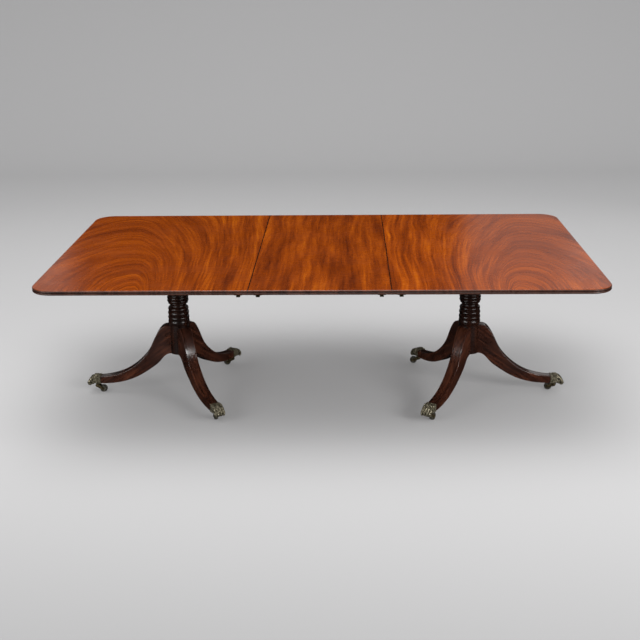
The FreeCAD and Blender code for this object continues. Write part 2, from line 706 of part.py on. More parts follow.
def leaf_clip(side):
    """A forked clip at the front edge, astride one seam, with its bow towards the middle."""
    x = side * SEAM_X
    tip = clip_tip_y()
    bow = tip + PRONG_LENGTH
    near, far = (PRONG_SPACING - PRONG_WIDTH) / 2, (PRONG_SPACING + PRONG_WIDTH) / 2
    nose = PRONG_NOSE
    z = CLIP_BOTTOM
    line, arc = Part.LineSegment, Part.Arc

    def at(u, y):
        return V(x + u, y, z)

    left_nose = [at(-near, bow), at(-near, tip + nose), at(-near - nose, tip),
                 at(-far + nose, tip), at(-far, tip + nose), at(-far, bow)]
    right_nose = [at(far, bow), at(far, tip + nose), at(far - nose, tip),
                  at(near + nose, tip), at(near, tip + nose), at(near, bow)]
    edges = [line(a, b).toShape() for a, b in zip(left_nose, left_nose[1:])]
    edges.append(arc(at(-far, bow), at(0, bow + far), at(far, bow)).toShape())
    edges += [line(a, b).toShape() for a, b in zip(right_nose, right_nose[1:])]
    edges.append(arc(at(near, bow), at(0, bow + near), at(-near, bow)).toShape())
    return Part.Face(Part.Wire(edges)).extrude(V(0, 0, PRONG_THICK))


def keeper_screw_pair(x):
    """The two screws of the keeper at one prong, through its ears into the board."""
    y = clip_tip_y() + KEEPER_LENGTH / 2
    off = PRONG_WIDTH / 2 + SLIDE_FIT + KEEPER_WALL + KEEPER_EAR / 2
    z = UNDERSIDE - KEEPER_EAR_THICK
    depth = KEEPER_EAR_THICK + KEEPER_BITE
    return [screw(KEEPER_SCREW, V(x + dx, y, z), V(0, 0, 1), depth) for dx in (-off, off)]


def keeper(x):
    """A channel that holds one prong up against the board, with an ear each side."""
    y0 = clip_tip_y()
    y1 = y0 + KEEPER_LENGTH
    slot = PRONG_WIDTH / 2 + SLIDE_FIT
    wall = slot + KEEPER_WALL
    ear = wall + KEEPER_EAR
    body = box(x - wall, x + wall, y0, y1, KEEPER_BOTTOM, UNDERSIDE)
    ears = box(x - ear, x + ear, y0, y1, UNDERSIDE - KEEPER_EAR_THICK, UNDERSIDE)
    floor = CLIP_BOTTOM - SLIDE_FIT
    way = box(x - slot, x + slot, y0 - KEEPER_LENGTH, y1 + KEEPER_LENGTH, floor, TABLE_HEIGHT)
    return joined([body, ears]).cut([way] + keeper_screw_pair(x))


def front_and_rear(shapes):
    """The same pieces at the front edge, and at the rear edge facing the other way."""
    return list(shapes) + [shape.mirror(V(0, 0, 0), V(0, 1, 0)) for shape in shapes]


def strap_screws(side):
    """Three screws through the plate into the ends of the dovetails."""
    radius = DRUM_RADIUS - TAIL_DEPTH / 2
    shapes = []
    for name, place, angle, trail_turn in LEGS:
        if place == side:
            at = V(radius, 0, LEG_FOOT - STRAP_THICK)
            one = screw(STRAP_SCREW, at, V(0, 0, 1), STRAP_THICK + STRAP_BITE)
            shapes.append(moved(one, side * COLUMN_X, 0, angle))
    return shapes


def strap_plate(side):
    """A three-armed iron plate that keeps the legs from sliding down out of the column."""
    low, high = LEG_FOOT - STRAP_THICK, LEG_FOOT
    shapes = [rod(STRAP_HUB, 0, 0, low, high)]
    for name, place, angle, trail_turn in LEGS:
        if place == side:
            end = DRUM_RADIUS - STRAP_INSET - STRAP_ARM / 2
            arm = box(0, end, -STRAP_ARM / 2, STRAP_ARM / 2, low, high)
            shapes.append(moved(arm.fuse(rod(STRAP_ARM / 2, end, 0, low, high)), turn=angle))
    return moved(joined(shapes), side * COLUMN_X).cut(strap_screws(side))


def save(name, shapes):
    """Write one node: a single solid, or a group of like solids."""
    group = shapes if isinstance(shapes, list) else [shapes]
    solids = [solid for shape in group for solid in shape.Solids]
    whole = solids[0] if len(solids) == 1 else Part.makeCompound(solids)
    whole.exportStep("parts/%s.step" % name)


os.makedirs("parts", exist_ok=True)

# Top boards, with the mortices and the screw holes that they receive
keeper_places = {
    "left_end": [-SEAM_X - PRONG_SPACING / 2],
    "leaf": [-SEAM_X + PRONG_SPACING / 2, SEAM_X - PRONG_SPACING / 2],
    "right_end": [SEAM_X + PRONG_SPACING / 2],
}
keeper_screws = []
for places in keeper_places.values():
    for place in places:
        keeper_screws += front_and_rear(keeper_screw_pair(place))
top_holes = peg_shapes(GLUE_FIT) + bearer_screws() + block_screws() + keeper_screws
right_end = reeded_board(end_outline)
left_end = right_end.mirror(V(0, 0, 0), V(1, 0, 0))
save("left_end_top", left_end.cut(top_holes))
save("right_end_top", right_end.cut(top_holes))
save("centre_leaf", reeded_board(leaf_outline).cut(top_holes))
save("leaf_pegs", peg_shapes(0.0))

# Under-frame of each end: block and two bearers, screwed up into the board
save("bearer_screws", bearer_screws())
save("block_screws", block_screws())
for word, side in (("left", -1), ("right", 1)):
    for edge, row in (("front", -1), ("rear", 1)):
        save("%s_%s_bearer" % (word, edge), bearer(side, row).cut(bearer_screws()))
    x = side * COLUMN_X
    long, wide = BLOCK_LENGTH / 2, BLOCK_WIDTH / 2
    block = box(x - long, x + long, -wide, wide, BLOCK_BOTTOM, UNDERSIDE)
    mortice = rod(TENON_RADIUS + GLUE_FIT, x, 0, 0, UNDERSIDE)
    save("%s_block" % word, block.cut([mortice] + block_screws()))

# Pedestals: column with its sockets, and the plate below them
one_column = column()
for word, side in (("left", -1), ("right", 1)):
    first_angle = next(angle for name, place, angle, trail_turn in LEGS if place == side)
    turned_column = moved(one_column, side * COLUMN_X, 0, first_angle)
    save("%s_column" % word, turned_column.cut(strap_screws(side)))
    save("%s_strap_plate" % word, strap_plate(side))
save("strap_screws", strap_screws(-1) + strap_screws(1))

# Legs, caps and castors, the same six times
one_leg, one_cap, one_horn = leg(), paw_cap(), castor_horn()
one_wheel, one_axle = castor_wheel(), castor_axle()
all_cap_screws = []
for name, side, angle, trail_turn in LEGS:
    x = side * COLUMN_X
    save("%s_leg" % name, moved(one_leg, x, 0, angle).cut(strap_screws(side)))
    save("%s_paw_cap" % name, moved(one_cap, x, 0, angle))
    all_cap_screws += [moved(one, x, 0, angle) for one in cap_screws()]
    for piece, shape in (("castor_horn", one_horn), ("castor_wheel", one_wheel), ("castor_axle", one_axle)):
        on_pin = moved(shape, PINTLE_X, 0, trail_turn)
        save("%s_%s" % (name, piece), moved(on_pin, x, 0, angle))
save("cap_screws", all_cap_screws)

# Leaf clips and keepers at the front and rear edges of both seams
for word, side in (("left", -1), ("right", 1)):
    front, rear = front_and_rear([leaf_clip(side)])
    save("%s_front_clip" % word, front)
    save("%s_rear_clip" % word, rear)
for board, places in keeper_places.items():
    save("%s_keepers" % board, front_and_rear([keeper(place) for place in places]))
save("keeper_screws", keeper_screws)
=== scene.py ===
import json
import math

import bmesh
import bpy
from mathutils import Euler, Matrix, Vector
from mathutils.bvhtree import BVHTree


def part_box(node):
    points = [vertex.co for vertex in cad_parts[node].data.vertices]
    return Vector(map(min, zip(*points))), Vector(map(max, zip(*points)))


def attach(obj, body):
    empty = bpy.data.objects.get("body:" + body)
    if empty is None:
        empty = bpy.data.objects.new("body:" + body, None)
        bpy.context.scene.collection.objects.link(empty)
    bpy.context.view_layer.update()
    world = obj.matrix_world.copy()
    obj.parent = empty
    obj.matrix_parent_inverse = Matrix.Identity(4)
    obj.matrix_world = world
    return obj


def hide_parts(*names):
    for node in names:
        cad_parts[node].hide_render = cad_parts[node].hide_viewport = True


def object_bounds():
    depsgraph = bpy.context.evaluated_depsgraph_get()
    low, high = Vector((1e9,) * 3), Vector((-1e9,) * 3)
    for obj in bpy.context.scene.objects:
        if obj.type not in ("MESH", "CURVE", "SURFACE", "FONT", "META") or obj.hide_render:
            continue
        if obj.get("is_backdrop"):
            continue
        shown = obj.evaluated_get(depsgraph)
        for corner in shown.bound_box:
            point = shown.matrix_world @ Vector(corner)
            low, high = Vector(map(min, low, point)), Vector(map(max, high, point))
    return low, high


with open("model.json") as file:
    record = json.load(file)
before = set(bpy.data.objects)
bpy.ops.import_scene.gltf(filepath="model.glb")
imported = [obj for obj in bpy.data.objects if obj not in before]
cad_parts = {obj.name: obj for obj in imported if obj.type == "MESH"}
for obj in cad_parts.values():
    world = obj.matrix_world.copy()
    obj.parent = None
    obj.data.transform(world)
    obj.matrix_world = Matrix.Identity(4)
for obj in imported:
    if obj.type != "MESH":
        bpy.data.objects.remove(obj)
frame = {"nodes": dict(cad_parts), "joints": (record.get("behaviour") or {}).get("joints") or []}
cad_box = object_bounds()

nodes = frame["nodes"]


# Columns: mahogany turned on a lathe, drum, rings and a swelling shaft in one length.
# They are stained dark, French polished and tenoned into the blocks above, and their colour is painted
# darker as shade from the top.

def grow(tree, kind, **settings):
    """Adds one node; a setting is a property of the node or an input socket, by its name."""
    one = tree.nodes.new(kind)
    for name, value in settings.items():
        if hasattr(one, name):
            setattr(one, name, value)
        else:
            one.inputs[name.replace("_", " ")].default_value = value
    return one


def put(tree, socket, term):
    """Feeds an input with another socket, a number or a colour."""
    if isinstance(term, bpy.types.NodeSocket):
        tree.links.new(term, socket)
    elif isinstance(term, (int, float)) or len(term) == len(socket.default_value):
        socket.default_value = term
    else:
        socket.default_value = (*term, 1.0)


def sum_of(tree, kind, *terms):
    """A math node on sockets or plain numbers."""
    one = grow(tree, "ShaderNodeMath", operation=kind)
    for socket, term in zip(one.inputs, terms):
        put(tree, socket, term)
    return one.outputs[0]


def vector_sum(tree, kind, *terms):
    """A vector math node on sockets or plain triples."""
    one = grow(tree, "ShaderNodeVectorMath", operation=kind)
    for socket, term in zip(one.inputs, terms):
        put(tree, socket, term)
    return one.outputs[0]


def noise_of(tree, vector, detail, roughness):
    """Soft noise at a place that is already scaled."""
    one = grow(tree, "ShaderNodeTexNoise", Scale=1.0, Detail=detail, Roughness=roughness)
    tree.links.new(vector, one.inputs["Vector"])
    return one.outputs["Fac"]


def ramp_of(tree, factor, stops):
    """A colour ramp through (position, colour) stops; a plain number is a grey."""
    one = tree.nodes.new("ShaderNodeValToRGB")
    elements = one.color_ramp.elements
    while len(elements) < len(stops):
        elements.new(0.5)
    for element, (position, colour) in zip(elements, stops):
        shade = (colour,) * 3 if isinstance(colour, float) else colour
        element.position = position
        element.color = (*shade, 1.0)
    tree.links.new(factor, one.inputs["Fac"])
    return one.outputs["Color"]


def blended(tree, factor, a, b, kind="MIX"):
    """A colour mix of two sockets or colours."""
    one = grow(tree, "ShaderNodeMix", data_type="RGBA", blend_type=kind)
    for socket, term in ((one.inputs[0], factor), (one.inputs[6], a), (one.inputs[7], b)):
        put(tree, socket, term)
    return one.outputs[2]


def ranged(tree, value, low, high):
    """0 below low, 1 above high, and smooth between; low may be the higher one."""
    one = grow(tree, "ShaderNodeMapRange", interpolation_type="SMOOTHSTEP")
    for name, term in (("Value", value), ("From Min", low), ("From Max", high)):
        put(tree, one.inputs[name], term)
    return one.outputs[0]


def new_group(name, inputs, outputs):
    """A shader node group; inputs are (name, starting value), outputs are names of values."""
    group = bpy.data.node_groups.new(name, "ShaderNodeTree")
    for title, value in inputs:
        kind = "NodeSocketVector" if isinstance(value, tuple) else "NodeSocketFloat"
        socket = group.interface.new_socket(title, in_out="INPUT", socket_type=kind)
        socket.default_value = value
    for title in outputs:
        group.interface.new_socket(title, in_out="OUTPUT", socket_type="NodeSocketFloat")
    return group, grow(group, "NodeGroupInput").outputs, grow(group, "NodeGroupOutput").inputs


def use_group(tree, group, **settings):
    """Places a group; a setting is one of its inputs."""
    one = grow(tree, "ShaderNodeGroup", node_tree=group)
    for name, value in settings.items():
        put(tree, one.inputs[name.replace("_", " ")], value)
    return one.outputs


def wood_grain_group():
    """Growth bands, pores and soft clouding of a wood whose grain runs along X."""
    group, given, made = new_group(
        "wood_grain", (("Vector", (0.0, 0.0, 0.0)), ("Along", 6.0), ("Across", 120.0)),
        ("Grain", "Pores", "Cloud"))
    along, across = given["Along"], given["Across"]

    def layer(share_along, share_across, detail, roughness):
        size = grow(group, "ShaderNodeCombineXYZ")
        put(group, size.inputs["X"], sum_of(group, "MULTIPLY", along, share_along))
        for axis in ("Y", "Z"):
            put(group, size.inputs[axis], sum_of(group, "MULTIPLY", across, share_across))
        scaled = vector_sum(group, "MULTIPLY", given["Vector"], size.outputs[0])
        return noise_of(group, scaled, detail, roughness)

    put(group, made["Grain"], layer(1.0, 1.0, 4.0, 0.58))
    put(group, made["Pores"], layer(4.0, 6.0, 2.0, 0.5))
    put(group, made["Cloud"], layer(1.2, 0.08, 2.0, 0.5))
    return group


def polish_group():
    """Rubbed polish: how rough the film is from place to place, in broad and in fine marks."""
    group, given, made = new_group(
        "polish_marks", (("Vector", (0.0, 0.0, 0.0)), ("Low", 0.2), ("High", 0.4)), ("Roughness",))
    marks = 0.0
    for per_metre, detail, share in ((160.0, 2.0, 0.25), (7.0, 3.0, 0.75)):
        scaled = vector_sum(group, "MULTIPLY", given["Vector"], (per_metre,) * 3)
        marks = sum_of(group, "MULTIPLY_ADD", noise_of(group, scaled, detail, 0.6), share, marks)
    rubbed = ranged(group, marks, 0.34, 0.66)
    spread = sum_of(group, "SUBTRACT", given["High"], given["Low"])
    put(group, made["Roughness"], sum_of(group, "MULTIPLY_ADD", rubbed, spread, given["Low"]))
    return group


wood_grain = wood_grain_group()
polish_marks = polish_group()


def new_material(name):
    """An empty node material with its Principled shader and its object coordinates."""
    material = bpy.data.materials.new(name)
    material.use_nodes = True
    tree = material.node_tree
    return material, tree, tree.nodes["Principled BSDF"], grow(tree, "ShaderNodeTexCoord").outputs["Object"]


def turned_to_grain(tree, where, turn, offset):
    """Object coordinates turned so that X runs with the grain."""
    one = grow(tree, "ShaderNodeMapping", vector_type="POINT")
    one.inputs["Rotation"].default_value = turn
    one.inputs["Location"].default_value = offset
    tree.links.new(where, one.inputs["Vector"])
    return one.outputs["Vector"]


def bumped(tree, shader, height, strength, distance):
    """Fine relief of the surface."""
    bump = grow(tree, "ShaderNodeBump", Strength=strength, Distance=distance)
    put(tree, bump.inputs["Height"], height)
    put(tree, shader.inputs["Normal"], bump.outputs["Normal"])


def dress(node, material):
    """Gives a CAD node one material all over."""
    slots = nodes[node].data.materials
    slots.clear()
    slots.append(material)


def dark_mahogany(name, turn, offset, depth, dullness):
    """Dark polished mahogany: red-brown where light gets in; depth divides the colour, as painted shade for
    a piece that stands in shadow.
    """
    material, tree, shader, where = new_material(name)
    lengthwise = turned_to_grain(tree, where, turn, offset)
    grain = use_group(tree, wood_grain, Vector=lengthwise, Along=7.0, Across=95.0)
    film = use_group(tree, polish_marks, Vector=where, Low=0.22, High=0.36)
    cloud = sum_of(tree, "MULTIPLY", grain["Cloud"], 0.38)
    tone = sum_of(tree, "MULTIPLY_ADD", grain["Grain"], 0.62, cloud)
    stops = ((0.34, (0.014, 0.0047, 0.0030)), (0.50, (0.043, 0.0125, 0.0066)),
             (0.66, (0.102, 0.031, 0.0145)))
    # Stain colours divided by depth: 1.0 leaves the stain as it is, more paints shade into it
    stain_and_shade_stops = [(place, tuple(part / depth for part in shade)) for place, shade in stops]
    colour = ramp_of(tree, tone, stain_and_shade_stops)
    pore = ranged(tree, grain["Pores"], 0.42, 0.30)
    put(tree, shader.inputs["Base Color"], blended(tree, pore, colour, (0.007, 0.0026, 0.0018)))
    put(tree, shader.inputs["Roughness"], film["Roughness"])
    shader.inputs["Coat Weight"].default_value = 1.0
    shader.inputs["Coat Roughness"].default_value = dullness
    bumped(tree, shader, grain["Pores"], 0.10, 0.0004)
    return material


SIDES = ("left", "right")
UPRIGHT = (0.0, math.pi / 2, 0.0)
# depth=2.2 paints the column darker than the legs, as painted shade for the shadow of the top
column_wood = dark_mahogany("column_mahogany", UPRIGHT, (0.3, 0.1, 0.7), depth=2.2, dullness=0.18)
for word in SIDES:
    dress(word + "_column", column_wood)


# Strap plates: three-armed wrought iron, screwed up under each column.
# They keep the dovetailed legs from dropping out, and are left black from the forge.

def patina_group():
    """Patches of an old metal surface, and the fine pitting of its skin."""
    group, given, made = new_group(
        "metal_patina", (("Vector", (0.0, 0.0, 0.0)), ("Patches", 100.0), ("Pits", 900.0)),
        ("Patch", "Pit"))
    for title, size, detail in (("Patch", "Patches", 4.0), ("Pit", "Pits", 2.0)):
        spread = grow(group, "ShaderNodeVectorMath", operation="SCALE")
        put(group, spread.inputs[0], given["Vector"])
        put(group, spread.inputs["Scale"], given[size])
        put(group, made[title], noise_of(group, spread.outputs[0], detail, 0.6))
    return group


metal_patina = patina_group()
PITS_TO_A_PATCH = 9


def old_metal(name, hollow, face, worn, rough, patches, bare=1.0, hand_cast=False):
    """Old metal: a dull face with dark patches, brighter where rubbed; bare is the share free of tarnish."""
    material, tree, shader, where = new_material(name)
    skin = use_group(tree, metal_patina, Vector=where, Patches=patches, Pits=patches * PITS_TO_A_PATCH)
    colour = ramp_of(tree, skin["Patch"], ((0.34, hollow), (0.50, face), (0.68, worn)))
    gloss = ramp_of(tree, skin["Patch"], ((0.30, rough[1]), (0.70, rough[0])))
    if hand_cast:
        dirt = grow(tree, "ShaderNodeAttribute", attribute_name="hollow").outputs["Fac"]
        shine = grow(tree, "ShaderNodeAttribute", attribute_name="shine").outputs["Fac"]
        colour = blended(tree, ranged(tree, shine, 0.05, 0.9), colour, worn)
        grime = tuple(0.28 * part for part in hollow)
        colour = blended(tree, ranged(tree, dirt, 0.18, 0.62), colour, grime)
        gloss = blended(tree, ranged(tree, dirt, 0.2, 0.6), gloss, (0.68, 0.68, 0.68))
    put(tree, shader.inputs["Base Color"], colour)
    put(tree, shader.inputs["Roughness"], gloss)
    shader.inputs["Metallic"].default_value = bare
    bumped(tree, shader, skin["Pit"], 0.16, 0.00025)
    return material


iron = old_metal("strap_iron", (0.020, 0.018, 0.016), (0.055, 0.050, 0.046), (0.13, 0.11, 0.095),
                 (0.42, 0.70), 90.0)
for word in SIDES:
    dress(word + "_strap_plate", iron)


# Legs: sawn from mahogany plank with the grain down the sweep, moulded with two grooves.
# Each is dovetailed up into its drum, stained and polished with the column.

LEG_SWEEP = math.radians(36.0)
LEG_TURNS = {"left_outer": 180.0, "left_front": -60.0, "left_rear": 60.0,
             "right_outer": 0.0, "right_front": -120.0, "right_rear": 120.0}
for place, degrees in LEG_TURNS.items():
    about = Euler((0.0, 0.0, math.radians(degrees))).to_matrix()
    down_the_sweep = about @ Euler((0.0, LEG_SWEEP, 0.0)).to_matrix()
    turn = down_the_sweep.inverted().to_euler()
    offset = (degrees / 90.0, 0.4, 0.2)
    leg_wood = dark_mahogany(place + "_leg_mahogany", turn, offset, depth=1.0, dullness=0.09)
    dress(place + "_leg", leg_wood)


# Paw caps: six lion's paws in cast brass, chased after casting and slid over the toes of the legs.
# A rim and a band grip the wood, fur falls over four knuckled toes, and a boss below takes the castor's pin.

MM = 0.001
column_x = sum(corner[0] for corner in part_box("right_column")) / 2
cap_low = Vector(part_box("right_outer_paw_cap")[0])
cap_back = cap_low.x - column_x
SOLE = cap_low.z
swivel = next(joint for joint in frame["joints"] if joint["name"] == "right_outer_swivel")
pin_x = swivel["pos_m"][0] - column_x
PIN_OUT = (pin_x - cap_back) / MM
SLEEVE_HALF, SLEEVE_LOW, SLEEVE_HIGH, SLEEVE_LENGTH = 22.2, 48.3, 83.7, 31.0
CAVITY_HALF, CAVITY_LOW, CAVITY_HIGH, CAVITY_LENGTH = 18.95, 51.6, 80.4, 29.3
CAVITY_OPEN = 10.0
RIM_LENGTH, RIM_PROUD = 6.5, 1.7
BAND_START, BAND_END, BAND_PROUD = 8.4, 11.0, 0.9
BACK_LUMP = (38.0, 58.0), (19.0, 20.5, 16.5)
PALM_LUMP = (46.0, 47.0), (14.5, 18.0, 8.5)
BOSS_RADIUS, BOSS_LOW, BOSS_ROOT = 9.0, 41.5, 2.0
BORE_RADIUS, BORE_DEPTH, BORE_DROP = 4.25, 30.0, 13.0
HORN_SWING = 17.0
TOE_COUNT, TOE_PITCH, TOE_SPLAY = 4, 11.4, math.radians(4.0)
VOXEL = 0.7 * MM


def cap_point(out, across, high):
    """A point of the cap from millimetres out from its rim, sideways and above the floor."""
    return Vector((cap_back + out * MM, across * MM, high * MM))


def slab(bm, span, half, low, high, ease):
    """A block across the cap with its edges rounded over."""
    size = Vector((span[1] - span[0], 2 * half, high - low)) * MM
    middle = cap_point((span[0] + span[1]) / 2, 0.0, (low + high) / 2)
    place = Matrix.Translation(middle) @ Matrix.Diagonal((*size, 1.0))
    made = bmesh.ops.create_cube(bm, size=1.0, matrix=place)
    edges = list({edge for vert in made["verts"] for edge in vert.link_edges})
    bmesh.ops.bevel(bm, geom=edges, offset=ease * MM, segments=3, affect="EDGES", profile=0.5)


def blob(bm, centre, radii):
    """One rounded lump of brass."""
    matrix = Matrix.Translation(centre) @ Matrix.Diagonal((*(Vector(radii) * MM), 1.0))
    bmesh.ops.create_icosphere(bm, subdivisions=3, radius=1.0, matrix=matrix)


def rod(bm, radius, depth, middle, sides):
    """An upright round bar."""
    bmesh.ops.create_cone(bm, cap_ends=True, segments=sides, radius1=radius * MM, radius2=radius * MM,
                          depth=depth * MM, matrix=Matrix.Translation(middle))


def strand(bm, stops, steps):
    """A tapering, bending strand through (point, radius) stops, as a row of close balls."""
    for index in range(steps + 1):
        last = len(stops) - 1
        place = index / steps * last
        first = min(int(place), last - 1)
        share = place - first
        around = (max(0, min(last, first + step)) for step in (-1, 0, 1, 2))
        before, start, end, after = (stops[stop] for stop in around)
        lead, trail = (end[0] - before[0]) / 2, (after[0] - start[0]) / 2
        s2, s3 = share * share, share ** 3
        centre = start[0] * (2 * s3 - 3 * s2 + 1) + lead * (s3 - 2 * s2 + share)
        centre += end[0] * (3 * s2 - 2 * s3) + trail * (s3 - s2)
        radius = start[1] + (end[1] - start[1]) * share
        bmesh.ops.create_icosphere(bm, subdivisions=2, radius=radius * MM, matrix=Matrix.Translation(centre))


FUR_FOOT = 6.0
FUR_ROWS = (12.5, 10.0, 15), (18.0, 12.0, 16), (24.0, 14.0, 15)


def fur_root(run):
    """Where a lock of fur grows on the sleeve: up one side, over the top and down the other."""
    side_run, top_run = SLEEVE_HIGH - SLEEVE_LOW - FUR_FOOT, 2 * SLEEVE_HALF
    if run < side_run:
        return (-SLEEVE_HALF, SLEEVE_LOW + FUR_FOOT + run), (-1.0, 0.0)
    if run > side_run + top_run:
        return (SLEEVE_HALF, SLEEVE_HIGH - (run - side_run - top_run)), (1.0, 0.0)
    return (-SLEEVE_HALF + run - side_run, SLEEVE_HIGH), (0.0, 1.0)


def fur(bm):
    """Three overlapping rows of pointed locks, lying forward over the roots of the toes."""
    whole = 2 * (SLEEVE_HIGH - SLEEVE_LOW - FUR_FOOT) + 2 * SLEEVE_HALF
    for row, (out, length, count) in enumerate(FUR_ROWS):
        for index in range(count):
            (across, high), (ny, nz) = fur_root((index + 0.5) / count * whole)
            lift = 0.5 + 0.5 * row
            longer = length * (1.12 if index % 2 else 0.92)
            sag = 3.4 * row * (high - SLEEVE_LOW) / (SLEEVE_HIGH - SLEEVE_LOW)
            lock = (0.0, -1.6, 2.2), (0.45, lift, 3.0), (0.8, lift - 0.4, 2.0), (1.0, -0.8, 0.7)
            stops = []
            for share, rise, radius in lock:
                fall = sag * share * share
                point = cap_point(out + longer * share, across + ny * rise, high + nz * rise - fall)
                stops.append((point, radius))
            strand(bm, stops, 12)


def toe_places():
    """Each toe's own frame: where it stands across the paw and how far it splays."""
    root = cap_point(SLEEVE_LENGTH - 1.0, 0.0, 0.0)
    for index in range(TOE_COUNT):
        place = index - (TOE_COUNT - 1) / 2
        splay = Matrix.Rotation(place * TOE_SPLAY, 4, "Z")
        yield Matrix.Translation((0.0, place * TOE_PITCH * MM, 0.0)) @ Matrix.Translation(root) @ splay


def in_toe(out, high):
    """A point of one toe in its own frame, in millimetres out from its root and above the floor."""
    return Vector((out * MM, 0.0, high * MM))


TOE_BONE = ((-6.0, 76.0, 5.0), (6.0, 76.6, 5.6), (14.0, 72.0, 7.2), (21.0, 65.0, 6.1),
            (25.6, 57.5, 7.0), (26.8, 48.4, 6.7))
CLAW = (27.0, 56.5, 3.4), (30.6, 55.6, 2.9), (33.0, 53.2, 2.2), (33.8, 50.0, 1.2)
TOE_PAD = (23.6, 44.4), (8.4, 5.6, 5.4)


def toes(bm):
    """Four toes, each with a raised knuckle, a second joint, a pad below and a hooked claw."""
    for place in toe_places():
        for shape, steps in ((TOE_BONE, 30), (CLAW, 18)):
            strand(bm, [(place @ in_toe(out, high), radius) for out, high, radius in shape], steps)
        centre, radii = TOE_PAD
        blob(bm, place @ in_toe(*centre), radii)


def paw_mesh():
    """The whole cap as one cast skin, with the toe's cavity and the pin's bore cut into it."""
    bm = bmesh.new()
    slab(bm, (0.4, SLEEVE_LENGTH), SLEEVE_HALF, SLEEVE_LOW, SLEEVE_HIGH, 1.6)
    for span, proud in (((0.0, RIM_LENGTH), RIM_PROUD), ((BAND_START, BAND_END), BAND_PROUD)):
        slab(bm, span, SLEEVE_HALF + proud, SLEEVE_LOW - proud, SLEEVE_HIGH + proud, proud)
    for (out, high), radii in (BACK_LUMP, PALM_LUMP):
        blob(bm, cap_point(out, 0.0, high), radii)
    boss_top = SLEEVE_LOW + BOSS_ROOT
    rod(bm, BOSS_RADIUS, boss_top - BOSS_LOW, cap_point(PIN_OUT, 0.0, (BOSS_LOW + boss_top) / 2), 48)
    fur(bm)
    toes(bm)
    mesh = bpy.data.meshes.new("paw_cast")
    bm.to_mesh(mesh)
    bm.free()
    cast = bpy.data.objects.new("paw_cast", mesh)
    bpy.context.scene.collection.objects.link(cast)
    skin = cast.modifiers.new("skin", "REMESH")
    skin.mode = "VOXEL"
    skin.voxel_size = VOXEL
    ease = cast.modifiers.new("ease", "SMOOTH")
    ease.factor = 0.5
    ease.iterations = 2

    cut = bmesh.new()
    size = Vector((CAVITY_LENGTH + CAVITY_OPEN, 2 * CAVITY_HALF, CAVITY_HIGH - CAVITY_LOW)) * MM
    middle = cap_point((CAVITY_LENGTH - CAVITY_OPEN) / 2, 0.0, (CAVITY_LOW + CAVITY_HIGH) / 2)
    bmesh.ops.create_cube(cut, size=1.0, matrix=Matrix.Translation(middle) @ Matrix.Diagonal((*size, 1.0)))
    rod(cut, BORE_RADIUS, BORE_DEPTH, cap_point(PIN_OUT, 0.0, CAVITY_LOW - BORE_DROP), 40)
    cut_mesh = bpy.data.meshes.new("paw_cut")
    cut.to_mesh(cut_mesh)
    cut.free()
    cutter = bpy.data.objects.new("paw_cut", cut_mesh)
    bpy.context.scene.collection.objects.link(cutter)
    hollow = cast.modifiers.new("hollow", "BOOLEAN")
    hollow.operation = "DIFFERENCE"
    hollow.solver = "EXACT"
    hollow.use_self = True
    hollow.object = cutter
    bpy.context.view_layer.update()
    ready = cast.evaluated_get(bpy.context.evaluated_depsgraph_get())
    whole = bpy.data.meshes.new_from_object(ready)
    for helper in (cast, cutter):
        bpy.data.objects.remove(helper)
    for vert in whole.vertices:
        swing = math.hypot(vert.co.x - pin_x, vert.co.y)
        vert.co.z = max(vert.co.z, BOSS_LOW * MM if swing < HORN_SWING * MM else SOLE)
    whole.shade_smooth()
    return whole


def mark_hollows(mesh, reach, rays):
    """Stores how shut in each point is, and how far it stands proud, for the metal's wear."""
    bm = bmesh.new()
    bm.from_mesh(mesh)
    bm.normal_update()
    tree = BVHTree.FromBMesh(bm)
    golden = math.pi * (3.0 - math.sqrt(5.0))
    cone = []
    for index in range(rays):
        high = math.sqrt(1.0 - (index + 0.5) / rays)
        flat = math.sqrt(1.0 - high * high)
        cone.append(Vector((flat * math.cos(index * golden), flat * math.sin(index * golden), high)))
    shut, proud = [], []
    for vert in bm.verts:
        turn = vert.normal.to_track_quat("Z", "Y")
        start = vert.co + vert.normal * (0.3 * MM)
        hits = sum(1 for ray in cone if tree.ray_cast(start, turn @ ray, reach)[0] is not None)
        shut.append(hits / rays)
        around = [edge.other_vert(vert).co for edge in vert.link_edges]
        lean = sum(((there - vert.co).normalized().dot(vert.normal) for there in around), 0.0)
        proud.append(max(0.0, min(1.0, -3.0 * lean / max(1, len(around)))))
    bm.free()
    for name, values in (("hollow", shut), ("shine", proud)):
        mesh.attributes.new(name, "FLOAT", "POINT").data.foreach_set("value", values)


HOLLOW_REACH, HOLLOW_RAYS = 14 * MM, 14
paw = paw_mesh()
mark_hollows(paw, HOLLOW_REACH, HOLLOW_RAYS)
cap_brass = old_metal("cap_brass", (0.062, 0.052, 0.031), (0.250, 0.220, 0.146), (0.66, 0.595, 0.440),
                      (0.22, 0.40), 120.0, bare=0.75, hand_cast=True)
paw.materials.append(cap_brass)


def added(name, mesh, body, slot, *replaced):
    """Puts a finished piece into the scene, on its body, for the nodes that it stands for."""
    piece = bpy.data.objects.new(name, mesh)
    bpy.context.scene.collection.objects.link(piece)
    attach(piece, body)
    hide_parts(*replaced)
    return piece


for place, degrees in LEG_TURNS.items():
    one = paw.copy()
    stand = column_x if place.startswith("right") else -column_x
    about = Matrix.Rotation(math.radians(degrees), 4, "Z")
    one.transform(Matrix.Translation((stand, 0.0, 0.0)) @ about)
    added(place + "_lion_paw", one, "table", "cap_brass", place + "_paw_cap")
bpy.data.meshes.remove(paw)


# Screws: turned brass and steel wood screws with slotted, countersunk heads.
# Two pin each paw cap to its toe, and others hold the plates, blocks, bearers and keepers.

